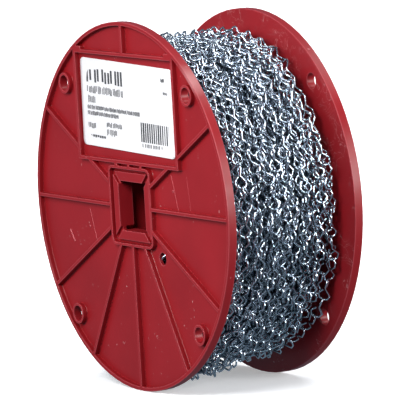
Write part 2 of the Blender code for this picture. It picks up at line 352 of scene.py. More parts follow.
def paper_look(tree, place, settings):
    """Smooth coated paper, with a faint fibre and a trace of the adhesive's waviness."""
    fibre = ramp(tree, noise(tree, place, 700.0, 4.0, 0.65), 0.35, 0.65)
    waves = calc(tree, "MULTIPLY_ADD", noise(tree, place, 40.0, 1.0), 6.0, noise(tree, place, 900.0, 3.0))
    return {
        "Base Color": mix_colors(tree, fibre, rgba(settings.paper_color, 0.94), rgba(settings.paper_color)),
        "Roughness": 0.5,
        "Normal": bump(tree, waves, FINE_RELIEF, 0.7),
    }


def ink_look(tree, place, settings):
    """Thermal print: a soft black that breaks up a little at its edges."""
    grain = ramp(tree, noise(tree, place, 1600.0, 3.0), 0.45, 0.75)
    worn = rgba(settings.ink_color, lift=0.1)
    return {
        "Base Color": mix_colors(tree, grain, rgba(settings.ink_color), worn),
        "Roughness": 0.55,
    }


def floor_look(tree, place, settings):
    """A pale matt sweep with the faintest mottling."""
    shade = rgba(settings.floor_color, 0.985)
    return {
        "Base Color": mix_colors(tree, noise(tree, place, 3.0, 3.0), shade, rgba(settings.floor_color)),
        "Roughness": 0.8,
        "Specular IOR Level": 0.2,
        "Emission Color": (1.0, 1.0, 1.0, 1.0),
        "Emission Strength": settings.floor_glow,
    }


# The reel


def whole_copy(source):
    """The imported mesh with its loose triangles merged, and its flat faces made whole."""
    body = bmesh.new()
    body.from_mesh(source.data)
    for distance in (LOOSE_MERGE, SLIVER_MERGE):
        bmesh.ops.remove_doubles(body, verts=body.verts, dist=distance)
        bmesh.ops.dissolve_limit(body, angle_limit=FLAT_ANGLE, verts=body.verts, edges=body.edges)
    return body


def mark_edges(body, crest_share):
    """Gives every corner its weight for the Bevel: full in the hollow feet, less on the crests."""
    weight = body.edges.layers.float.new("bevel_weight_edge")
    for edge in body.edges:
        if edge.calc_face_angle() > EDGE_ANGLE:
            edge[weight] = crest_share if edge.is_convex else 1.0


def cut_flat_face(points, corners, normal):
    """Triangles of a flat face with many corners, also where its outline crosses itself at a tight corner."""
    flatten = normal.rotation_difference(Vector((0.0, 0.0, 1.0))).to_matrix()
    flat = [flatten @ points[corner] for corner in corners]
    count = len(corners)
    longest = max(range(count), key=lambda n: (flat[n] - flat[(n + 1) % count]).length)
    outline = [(longest + n) % count for n in range(count)]
    places, _, triangles, sources, _, _ = delaunay_2d_cdt(
        [spot.xy for spot in flat], [], [outline], INSIDE_ONLY, CUT_TOLERANCE)
    numbers = []
    for place, source in zip(places, sources):
        if source:
            numbers.append(corners[source[0]])
        else:
            numbers.append(len(points))
            points.append(flatten.inverted() @ Vector((*place, flat[longest].z)))
    return [[numbers[corner] for corner in triangle] for triangle in triangles]


def cut_flat_faces(thing):
    """Cuts the faces with many corners into triangles, and keeps each corner's shading normal."""
    old = thing.data
    points = [vertex.co.copy() for vertex in old.vertices]
    faces, normals = [], []
    for polygon in old.polygons:
        if polygon.loop_total < MANY_CORNERS:
            faces.append(list(polygon.vertices))
            normals.extend(old.corner_normals[loop].vector.copy() for loop in polygon.loop_indices)
        else:
            triangles = cut_flat_face(points, list(polygon.vertices), polygon.normal)
            faces.extend(triangles)
            normals.extend([polygon.normal.copy()] * (3 * len(triangles)))
    mesh = bpy.data.meshes.new(thing.name)
    mesh.from_pydata(points, [], faces)
    mesh.shade_smooth()
    mesh.normals_split_custom_set(normals)
    thing.data = mesh


def build_flange(name, node, settings, material):
    """A flange with the moulding's rounded crests, and fillets at the feet of its ribs and walls."""
    body = whole_copy(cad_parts[node])
    mark_edges(body, settings.crest_rounding / settings.foot_fillet)
    flange = object_from(name, body)
    flange.data.shade_smooth()
    rounding = flange.modifiers.new("rounding", "BEVEL")
    rounding.limit_method = "WEIGHT"
    rounding.width = settings.foot_fillet
    rounding.segments = settings.fillet_steps
    rounding.use_clamp_overlap = False
    rounding.miter_outer = "MITER_SHARP"
    flat = flange.modifiers.new("flat_faces", "WEIGHTED_NORMAL")
    flat.mode = "FACE_AREA"
    flat.weight = 50
    bake(flange)
    cut_flat_faces(flange)
    give_material(flange, material)
    finish_piece(flange, "reel_plastic", node)


# The faint lines that the mould leaves on each web, in millimetres from the reel's middle: where each one
# starts and ends, its width and its height. The round marks stand beside the longest two.
MOULD_LINES = (
    (-51.0, -4.6, -44.5, -23.7, 0.6, 0.12),
    (-74.9, -18.8, -70.3, -25.5, 0.8, 0.5),
    (42.4, 21.1, 48.7, 0.2, 0.6, 0.12),
    (59.1, 20.8, 61.8, 1.8, 0.45, 0.06),
)
MOULD_DOTS = ((-52.0, -15.2), (43.8, 11.8))
MARK_ROOT = 0.1 * MM
DOT_FLATNESS = 0.45


def on_web(x, z):
    return Vector((x * MM, WEB_FACE, AXIS_HEIGHT + z * MM))


def add_ridge(body, start, end, width, height):
    """A closed ridge with a roof's section, its foot a little inside the web."""
    along = (end - start).normalized()
    aside = Vector((along.z, 0.0, -along.x)) * (width / 2)
    root = Vector((0.0, MARK_ROOT, 0.0))
    crest = Vector((0.0, -height, 0.0))
    near = [body.verts.new(start + shift) for shift in (root - aside, crest, root + aside)]
    far = [body.verts.new(end + shift) for shift in (root - aside, crest, root + aside)]
    body.faces.new(near)
    body.faces.new(reversed(far))
    for number in range(3):
        beyond = (number + 1) % 3
        body.faces.new((near[number], far[number], far[beyond], near[beyond]))


def build_mould_marks(name, turn, settings, material):
    """The lines and the two low domes that the mould leaves on a web, turned to the web's own side."""
    body = bmesh.new()
    for x1, z1, x2, z2, width, height in MOULD_LINES:
        add_ridge(body, on_web(x1, z1), on_web(x2, z2), width * MM, height * MM)
    flat = Matrix.Diagonal((1.0, DOT_FLATNESS, 1.0, 1.0))
    for x, z in MOULD_DOTS:
        bmesh.ops.create_uvsphere(body, u_segments=16, v_segments=8, radius=settings.mould_dot,
                                  matrix=Matrix.Translation(on_web(x, z)) @ flat)
    body.transform(Matrix.Rotation(turn, 4, "Z"))
    bmesh.ops.recalc_face_normals(body, faces=body.faces)
    marks = object_from(name, body)
    give_material(marks, material)
    finish_piece(marks, "reel_plastic")


# The chain


# The bends of a loop, by their share of its length and of half its width
LOOP_BENDS = ((0.50, -1.0), (0.86, -0.74), (1.0, 0.0), (0.86, 0.74), (0.50, 1.0))


def link_path(settings):
    """The wire of one link: a loop that lies flat, and a loop at right angles to it."""
    length = (settings.link_pitch + settings.wire) / 2
    half = settings.loop_width / 2
    tuck = settings.wire * 0.98
    start = settings.wire * 0.45
    flat = [(along * length, aside * half, 0.0) for along, aside in LOOP_BENDS]
    upright = [(-along * length, 0.0, -aside * half) for along, aside in LOOP_BENDS]
    upright.reverse()
    points = [(start, -tuck, 0.0), *flat, (0.0, 0.0, 0.0), *reversed(upright), (-start, 0.0, -tuck)]
    mesh = bpy.data.meshes.new("link_wire")
    mesh.from_pydata(points, [(number, number + 1) for number in range(len(points) - 1)], [])
    return mesh


WINDING_INPUTS = {
    "NodeSocketFloat": (
        "Wire", "Links per Turn", "Radius", "Start", "End", "Axis Height", "Phase", "Wander", "Kink", "Lift",
        "Sag Near Label", "Sag Far Side", "Roll", "Twist", "Brightness",
    ),
    "NodeSocketInt": ("Sides", "Links", "Seed"),
    "NodeSocketMaterial": ("Material",),
}
# The swings of the chain: how fast each one runs along the links, and where in the noise it starts
SWINGS = {"Wander": (0.13, 0.0), "Kink": (0.83, 250.0), "Lift": (0.77, 500.0), "Twist": (0.09, 900.0)}
SWING_GAIN = 3.0
SEED_STRIDE = 37.7
EVENNESS = 0.65


def wave(tree, index, sizes, name):
    """A smooth random swing along the chain, between minus and plus the size of that name."""
    rate, offset = SWINGS[name]
    start = calc(tree, "MULTIPLY_ADD", sizes["Seed"], SEED_STRIDE, offset)
    along = calc(tree, "MULTIPLY_ADD", index, rate, start)
    swing = put(tree, "ShaderNodeTexNoise", {"W": along, "Scale": 1.0, "Detail": 1.0}, noise_dimensions="1D")
    centered = calc(tree, "SUBTRACT", swing, 0.5)
    return calc(tree, "MULTIPLY", calc(tree, "MULTIPLY", centered, SWING_GAIN), sizes[name])


def winding_tree():
    """Lays links end to end along a helix that wanders, each one turned to lie in the strand."""
    tree = new_tree("chain_winding", WINDING_INPUTS)
    sizes = add_node(tree, "NodeGroupInput").outputs
    index = put(tree, "GeometryNodeInputIndex")

    # The wire of one link as a tube
    path = put(tree, "GeometryNodeMeshToCurve", {"Mesh": sizes["Geometry"]})
    section = put(tree, "GeometryNodeCurvePrimitiveCircle", {
        "Resolution": sizes["Sides"], "Radius": calc(tree, "MULTIPLY", sizes["Wire"], 0.5)})
    link = put(tree, "GeometryNodeCurveToMesh", {"Curve": path, "Profile Curve": section, "Fill Caps": True})

    # The joints between links, along the helix
    turn = calc(tree, "DIVIDE", calc(tree, "ADD", index, sizes["Phase"]), sizes["Links per Turn"])
    angle = calc(tree, "MULTIPLY", turn, 2 * math.pi)
    share = calc(tree, "DIVIDE", index, sizes["Links"])
    reach = calc(tree, "SUBTRACT", sizes["End"], sizes["Start"])
    across = calc(tree, "MULTIPLY_ADD", share, reach, sizes["Start"])
    swung = calc(tree, "ADD", across, wave(tree, index, sizes, "Wander"))
    y = calc(tree, "ADD", swung, wave(tree, index, sizes, "Kink"))
    below = calc(tree, "MAXIMUM", calc(tree, "MULTIPLY", calc(tree, "COSINE", angle), -1.0), 0.0)
    hang = put(tree, "ShaderNodeMapRange", {
        "Value": y, "From Min": SAG_GROWS_FROM, "From Max": SAG_GROWS_TO,
        "To Min": sizes["Sag Far Side"], "To Max": sizes["Sag Near Label"],
    }, interpolation_type="SMOOTHSTEP")
    drop = calc(tree, "MULTIPLY", hang, calc(tree, "POWER", below, SAG_FALLOFF))
    lifted = calc(tree, "ADD", sizes["Radius"], wave(tree, index, sizes, "Lift"))
    distance = calc(tree, "ADD", lifted, drop)
    x = calc(tree, "MULTIPLY", distance, calc(tree, "SINE", angle))
    z = calc(tree, "MULTIPLY_ADD", distance, calc(tree, "COSINE", angle), sizes["Axis Height"])
    joint = put(tree, "ShaderNodeCombineXYZ", {"X": x, "Y": y, "Z": z})
    joints = put(tree, "GeometryNodeMeshLine", {"Count": calc(tree, "ADD", sizes["Links"], 1.0)})
    strand = put(tree, "GeometryNodeSetPosition", {"Geometry": joints, "Position": joint})

    # One point for each link, which keeps the way to the next joint
    ends = add_node(tree, "GeometryNodeInputMeshEdgeVertices").outputs
    heading = put(tree, "ShaderNodeVectorMath", {0: ends["Position 2"], 1: ends["Position 1"]},
                  operation="SUBTRACT")
    kept = add_node(tree, "GeometryNodeCaptureAttribute", domain="EDGE")
    kept.capture_items.new("VECTOR", "Heading")
    set_inputs(tree, kept, {"Geometry": strand, "Heading": heading})
    points = put(tree, "GeometryNodeMeshToPoints", {"Mesh": kept.outputs["Geometry"]}, mode="EDGES")

    # Each link lies along its heading, with its upright loop away from the axis, then rolls a little
    position = put(tree, "GeometryNodeInputPosition")
    spots = add_node(tree, "ShaderNodeSeparateXYZ", {0: position}).outputs
    height = calc(tree, "SUBTRACT", spots["Z"], sizes["Axis Height"])
    outward = put(tree, "ShaderNodeCombineXYZ", {"X": spots["X"], "Z": height})
    lie = put(tree, "FunctionNodeAxesToRotation", {0: kept.outputs["Heading"], 1: outward},
              primary_axis="X", secondary_axis="Z")
    jitter = random_number(tree, sizes["Seed"])
    rolled = calc(tree, "MULTIPLY", calc(tree, "MULTIPLY_ADD", jitter, 2.0, -1.0), sizes["Roll"])
    rolled_on = calc(tree, "ADD", rolled, wave(tree, index, sizes, "Twist"))
    roll = put(tree, "FunctionNodeAxisAngleToRotation", {"Axis": (1.0, 0.0, 0.0), "Angle": rolled_on})
    turned = put(tree, "FunctionNodeRotateRotation", {0: lie, 1: roll}, rotation_space="LOCAL")
    laid = put(tree, "GeometryNodeInstanceOnPoints", {"Points": points, "Instance": link, "Rotation": turned})

    # A tone for each link, random and with painted shade for the deeper layers, which its material reads
    chance = random_number(tree, calc(tree, "ADD", sizes["Seed"], 1.0))
    tone = calc(tree, "MULTIPLY_ADD", chance, 1.0 - EVENNESS, EVENNESS)
    toned = put(tree, "GeometryNodeStoreNamedAttribute", {
        "Geometry": laid, "Name": "tone", "Value": calc(tree, "MULTIPLY", tone, sizes["Brightness"]),
    }, data_type="FLOAT", domain="INSTANCE")
    finish_tree(tree, toned, sizes, smooth=True)
    return tree


# How far the loose outer turns stand off the turns below them, and the last one off the back flange
LOOSE_LIFT = 1.2 * MM
LAST_TURN_INSET = 2.0 * MM


# The link that looks out of the starter hole: share of a turn, places across of both ends, phase in links
STARTING_LINK = (0.054, -29.3 * MM, -42.7 * MM, 6.15)


def layers_of(settings):
    """The strands: name, radius, turns, places across of both ends, phase in links, share of sag, and the
    painted depth light, from 1 for no painted shade to 0 for the darkest.
    """
    edge = WINDING_HALF - settings.loop_width / 2 - settings.wire / 2
    outer = CHAIN_RADIUS - settings.loop_width / 2 - settings.wire / 2
    step = settings.layer_depth
    half = settings.turns // 2
    inset = edge - edge / half
    start = settings.start_radius
    return (
        ("outer_turns", outer + LOOSE_LIFT, half + 0.5, -edge, edge - LAST_TURN_INSET, 0.0, 1.0, 1.0),
        ("sunken_turns", outer - 0.6 * step, half - 0.5, edge, -inset, 0.5, 0.85, 0.85),
        ("second_turns", outer - 1.6 * step, settings.turns, -edge, edge, 0.25, 0.6, 0.5),
        ("third_turns", outer - 2.5 * step, settings.turns, edge, -edge, 0.75, 0.35, 0.15),
        ("fourth_turns", outer - 3.4 * step, settings.turns, -edge, edge, 0.0, 0.15, 0.0),
        ("front_first_turn", start, 1, -edge, -edge, 0.3, 0.0, 1.0),
        ("back_first_turn", start, 1, edge, edge, 0.6, 0.0, 1.0),
        ("starting_link", start, *STARTING_LINK, 0.0, 1.0),
    )


def build_turns(settings):
    """The strands of chain that show, each its own piece, made by one tree."""
    material = new_material("zinc_plate", zinc_look, settings)
    tree = winding_tree()
    for number, (name, radius, turns, start, end, phase, sag, painted_depth_light) in enumerate(layers_of(settings)):
        whole_turn = math.floor(2 * math.pi * radius / settings.link_pitch) + 0.5
        loose = min(max(turns - 1, 0.0), 1.0)
        strand = link_object(name, link_path(settings))
        add_tree(strand, tree, {
            "Wire": settings.wire,
            "Sides": settings.wire_sides,
            "Links": round(turns * whole_turn),
            "Links per Turn": whole_turn,
            "Radius": radius,
            "Start": start,
            "End": end,
            "Axis Height": AXIS_HEIGHT,
            "Phase": phase,
            "Wander": settings.wander * loose,
            "Kink": settings.kink * loose,
            "Lift": settings.lift * loose,
            "Sag Near Label": settings.sag_near_label * sag,
            "Sag Far Side": settings.sag_far_side * sag,
            "Roll": settings.roll,
            "Twist": settings.twist,
            "Brightness": painted_depth_light,
            "Seed": settings.seed + 10 * number,
            "Material": material,
        })
        finish_piece(bake(strand), "chain_zinc", "chain")


# The bed of buried turns: how many layers down it starts, the height of its ridges by the width of a loop,
# the faces across each ridge and round the reel
CORE_DEPTH = 4.1
RIDGE_SHARE = 0.25
RIDGE_STEPS = 4
CORE_SEGMENTS = 96


def turned_about_axis(name, profile, segments):
    """A closed section turned about the reel's axis: points are the distance from the axis, and Y."""
    body = bmesh.new()
    rows = []
    for number in range(segments):
        angle = 2 * math.pi * number / segments
        across, up = math.sin(angle), math.cos(angle)
        rows.append([body.verts.new((r * across, y, AXIS_HEIGHT + r * up)) for r, y in profile])
    for row, following in zip(rows, rows[1:] + rows[:1]):
        for corner in range(len(profile)):
            body.faces.new((row[corner - 1], row[corner], following[corner], following[corner - 1]))
    bmesh.ops.recalc_face_normals(body, faces=body.faces)
    return object_from(name, body)


def build_core(settings):
    """The bed of buried turns, a ridge for each, set in from both flanges."""
    material = new_material("buried_wire", buried_look, settings)
    outer = CHAIN_RADIUS - settings.loop_width - CORE_DEPTH * settings.layer_depth
    half = WINDING_HALF - settings.loop_width - settings.wire
    ridge = RIDGE_SHARE * settings.loop_width
    steps = 2 * settings.turns * RIDGE_STEPS
    profile = [(CORE_BORE, -half), (CORE_BORE, half)]
    for number in range(steps + 1):
        height = ridge * math.cos(2 * math.pi * number / RIDGE_STEPS)
        profile.append((outer + height, half * (1 - 2 * number / steps)))
    core = turned_about_axis("buried_turns", profile, CORE_SEGMENTS)
    core.data.shade_smooth()
    give_material(core, material)
    finish_piece(core, "chain_zinc", "chain")


# The label


# The faces along the label, up its straight sides and round each corner, and how steeply its lift grows
# towards its short edges and its long ones
LABEL_COLUMNS, LABEL_ROWS, CORNER_ROWS = 40, 16, 5
LIFT_ALONG, LIFT_UP = 9, 7


def build_label(settings):
    """The paper label: rounded corners, a slight lift along its edges, and a real thickness."""
    material = new_material("coated_paper", paper_look, settings)
    corner = settings.label_corner
    straight = LABEL_HEIGHT / 2 - corner
    bends = [math.pi / 2 * n / CORNER_ROWS for n in range(CORNER_ROWS + 1)]
    levels = [-straight - corner * math.cos(bend) for bend in bends[:-1]]
    levels += [straight * (2 * n / LABEL_ROWS - 1) for n in range(LABEL_ROWS)]
    levels += [straight + corner * math.sin(bend) for bend in bends]
    body = bmesh.new()
    grid = []
    for z in levels:
        past = max(0.0, abs(z) - straight)
        half = LABEL_WIDTH / 2 - corner + math.sqrt(max(corner**2 - past**2, 0.0))
        lifted_up = (2 * abs(z) / LABEL_HEIGHT) ** LIFT_UP
        row = []
        for number in range(LABEL_COLUMNS + 1):
            u = 2 * number / LABEL_COLUMNS - 1
            lifted = settings.label_lift * (abs(u) ** LIFT_ALONG + lifted_up) / 2
            row.append(body.verts.new((u * half, -lifted, z)))
        grid.append(row)
    for low, high in zip(grid, grid[1:]):
        for n in range(LABEL_COLUMNS):
            body.faces.new((low[n], low[n + 1], high[n + 1], high[n]))
    label = object_from("paper_label", body)
    label.data.transform(LABEL_PLACE)
    label.data.shade_smooth()
    paper = label.modifiers.new("paper", "SOLIDIFY")
    paper.thickness = LABEL_THICKNESS
    paper.offset = 0.0
    bake(label)
    give_material(label, material)
    finish_piece(label, "label_paper", "label")


# The print, by its share of the label's width and height from the upper left corner: left, top, height,
# the width of an upright tick and of the gap after it, and how many ticks there are in each word
PRINT_ROWS = (
    (0.024, 0.110, 0.165, 0.0205, 0.0120, (3, 2, 4, 3)),
    (0.024, 0.310, 0.090, 0.0082, 0.0052, (4, 7, 3, 8, 6, 2)),
    (0.024, 0.425, 0.085, 0.0082, 0.0052, (3, 6)),
    (0.024, 0.535, 0.050, 0.0078, 0.0026, (7, 4, 9, 5, 8, 10, 6, 7)),
    (0.024, 0.602, 0.050, 0.0078, 0.0026, (6, 9, 5, 7, 8)),
    (0.030, 0.735, 0.070, 0.0085, 0.0045, (9,)),
    (0.265, 0.705, 0.060, 0.0082, 0.0048, (5, 8)),
    (0.265, 0.785, 0.075, 0.0082, 0.0048, (2, 6)),
    (0.030, 0.870, 0.032, 0.0200, 0.0040, (3, 6)),
    (0.875, 0.115, 0.050, 0.0085, 0.0012, (4,)),
    (0.895, 0.265, 0.035, 0.0070, 0.0030, (5,)),
    (0.650, 0.880, 0.062, 0.0085, 0.0075, (1, 5, 5, 1)),
)
WORD_GAP = 1.6
TICK_SHARES = (0.72, 1.0)
GAP_SHARES = (0.7, 1.3)
BARS_LEFT, BARS_RIGHT, BARS_TOP, BARS_BOTTOM = 0.645, 0.965, 0.645, 0.865
BAR_COUNT = 14
BAR_SHARES = (0.35, 0.8)
BAR_INPUTS = {
    "NodeSocketFloat": ("Width", "Height", "Depth"),
    "NodeSocketInt": ("Count", "Seed"),
    "NodeSocketMaterial": ("Material",),
}
PRINT_THICKNESS = 0.03 * MM
PRINT_RAISED = 0.01 * MM


def bar_tree():
    """Upright bars of random width, side by side."""
    tree = new_tree("upright_bars", BAR_INPUTS)
    sizes = add_node(tree, "NodeGroupInput").outputs
    step = calc(tree, "DIVIDE", sizes["Width"], sizes["Count"])
    offset = put(tree, "ShaderNodeCombineXYZ", {"X": step})
    spots = put(tree, "GeometryNodeMeshLine", {"Count": sizes["Count"], "Offset": offset})
    size = put(tree, "ShaderNodeCombineXYZ", {"X": step, "Y": sizes["Depth"], "Z": sizes["Height"]})
    bar = put(tree, "GeometryNodeMeshCube", {"Size": size})
    share = random_number(tree, sizes["Seed"], *BAR_SHARES)
    scale = put(tree, "ShaderNodeCombineXYZ", {"X": share, "Y": 1.0, "Z": 1.0})
    laid = put(tree, "GeometryNodeInstanceOnPoints", {"Points": spots, "Instance": bar, "Scale": scale})
    join = add_node(tree, "GeometryNodeJoinGeometry", {0: laid})
    tree.links.new(sizes["Geometry"], join.inputs[0])
    finish_tree(tree, join.outputs[0], sizes)
    return tree


def printed_ticks(settings):
    """The generic ticks: left, top, width and height in metres, from the label's upper left corner."""
    chance = Random(settings.seed)
    for left, top, tall, tick, gap, words in PRINT_ROWS:
        at = left
        for ticks in words:
            for _ in range(ticks):
                share = chance.uniform(*TICK_SHARES)
                down = top + chance.uniform(0.0, 1.0 - share) * tall
                yield at * LABEL_WIDTH, down * LABEL_HEIGHT, tick * LABEL_WIDTH, share * tall * LABEL_HEIGHT
                at += tick + gap * chance.uniform(*GAP_SHARES)
            at += WORD_GAP * gap


def build_print(settings):
    """Generic print: rows of upright ticks and a block of bars, with no lettering."""
    material = new_material("black_print", ink_look, settings)
    corner = Vector((-LABEL_WIDTH / 2, -LABEL_THICKNESS / 2 - PRINT_RAISED, LABEL_HEIGHT / 2))
    bars_down = (BARS_TOP + BARS_BOTTOM) / 2 * LABEL_HEIGHT
    bars_middle = corner + Vector((BARS_LEFT * LABEL_WIDTH, 0.0, -bars_down))
    body = bmesh.new()
    for x, z, wide, tall in printed_ticks(settings):
        center = corner + Vector((x + wide / 2, 0.0, -z - tall / 2)) - bars_middle
        size = Matrix.Diagonal((wide, PRINT_THICKNESS, tall, 1.0))
        bmesh.ops.create_cube(body, size=1.0, matrix=Matrix.Translation(center) @ size)
    mark = object_from("label_print", body)
    add_tree(mark, bar_tree(), {
        "Count": BAR_COUNT,
        "Width": (BARS_RIGHT - BARS_LEFT) * LABEL_WIDTH,
        "Height": (BARS_BOTTOM - BARS_TOP) * LABEL_HEIGHT,
        "Depth": PRINT_THICKNESS,
        "Seed": settings.seed,
        "Material": material,
    })
    bake(mark)
    mark.data.transform(LABEL_PLACE @ Matrix.Translation(bars_middle))
    give_material(mark, material)
    finish_piece(mark, "label_paper")


# The studio


# The soft lights: azimuth and elevation in degrees, distance, side, spread in degrees, setting of the power
SOFTBOXES = (
    ("key_light", 34, 32, 0.6, 0.22, 70, "key_power"),
    ("front_light", -8, 18, 1.6, 0.5, 50, "front_power"),
    ("side_light", 76, 18, 1.6, 0.3, 50, "side_power"),
    ("chain_light", 118, 12, 1.4, 0.6, 60, "chain_power"),
    ("rim_light", 165, 56, 1.2, 0.5, 60, "rim_power"),
)
WASH_SIZE = (0.6, 3.4)
WASH_HEIGHT = 1.2


def towards(azimuth, elevation):
    """The way from the reel to a light or camera. Azimuth 0 is before the label, a quarter turn its right."""
    level = math.cos(elevation)
    return Vector((math.sin(azimuth) * level, -math.cos(azimuth) * level, math.sin(elevation)))


def area_light(name, size, power, spread):
    """A soft light with a grid, which the camera doesn't see."""
    lamp = bpy.data.lights.new(name, "AREA")
    lamp.shape = "RECTANGLE"
    lamp.size, lamp.size_y = size
    lamp.energy = power
    lamp.spread = spread
    light = link_object(name, lamp)
    light.visible_camera = False
    return light


def add_softbox(settings, name, azimuth, elevation, distance, side, spread, power):
    """A square light that points at the reel's middle."""
    light = area_light(name, (side, side), getattr(settings, power), math.radians(spread))
    back = towards(math.radians(azimuth), math.radians(elevation))
    light.location = Vector((0.0, 0.0, AXIS_HEIGHT)) + back * distance
    light.rotation_euler = (-back).to_track_quat("-Z", "Y").to_euler()


def add_floor_wash(settings):
    """A long light over the floor behind the reel, which keeps the background pale."""
    light = area_light("floor_wash", WASH_SIZE, settings.wash_power, settings.wash_spread)
    behind = towards(settings.azimuth, 0.0) * -settings.wash_distance
    light.location = behind + Vector((0.0, 0.0, WASH_HEIGHT))
    light.rotation_euler.z = settings.azimuth


def add_world(settings):
    """The even light from all round."""
    world = bpy.data.worlds.new("pale_studio")
    world.use_nodes = True
    tree = world.node_tree
    set_inputs(tree, tree.nodes["Background"], {
        "Color": rgba(settings.world_color),
        "Strength": settings.world_strength,
    })
    bpy.context.scene.world = world


def add_floor(settings):
    """The floor. The reel neither mirrors it nor takes its light, which would wash out the plastic."""
    body = bmesh.new()
    bmesh.ops.create_circle(body, cap_ends=True, segments=96, radius=settings.floor_radius)
    floor = object_from("studio_floor", body)
    give_material(floor, new_material("pale_floor", floor_look, settings))
    floor.visible_diffuse = False
    floor.visible_glossy = False


def add_camera(settings):
    """A long lens, turned round the reel's middle and rolled a little, as the photographer held it."""
    lens = bpy.data.cameras.new("photo_camera")
    lens.lens = settings.lens
    lens.sensor_width = 36.0
    lens.clip_end = 100.0
    camera = link_object("photo_camera", lens)
    back = towards(settings.azimuth, settings.elevation)
    right = towards(settings.azimuth + math.pi / 2, 0.0)
    up = back.cross(right)
    middle = Vector((0.0, 0.0, AXIS_HEIGHT)) + right * settings.aim_right + up * settings.aim_up
    turn = Matrix((right, up, back)).transposed() @ Matrix.Rotation(settings.camera_roll, 3, "Z")
    camera.matrix_world = Matrix.Translation(middle + back * settings.distance) @ turn.to_4x4()
    bpy.context.scene.camera = camera


def build_stage(settings):
    """The lights, the floor and the camera of the photo."""
    add_world(settings)
    add_floor(settings)
    for softbox in SOFTBOXES:
        add_softbox(settings, *softbox)
    add_floor_wash(settings)
    add_camera(settings)
    bpy.context.scene.view_settings.view_transform = "Standard"


# What a user can change


def color_setting(name, description, default):
    return FloatVectorProperty(
        name=name, description=description, subtype="COLOR", default=default, min=0.0, max=1.0)


def length_setting(name, description, default, **limits):
    return FloatProperty(name=name, description=description, unit="LENGTH", default=default, **limits)


def angle_setting(name, description, degrees, **limits):
    return FloatProperty(
        name=name, description=description, subtype="ANGLE", default=math.radians(degrees), **limits)


def power_setting(name, description, default):
    return FloatProperty(name=name, description=description, unit="POWER", default=default, min=0.0)


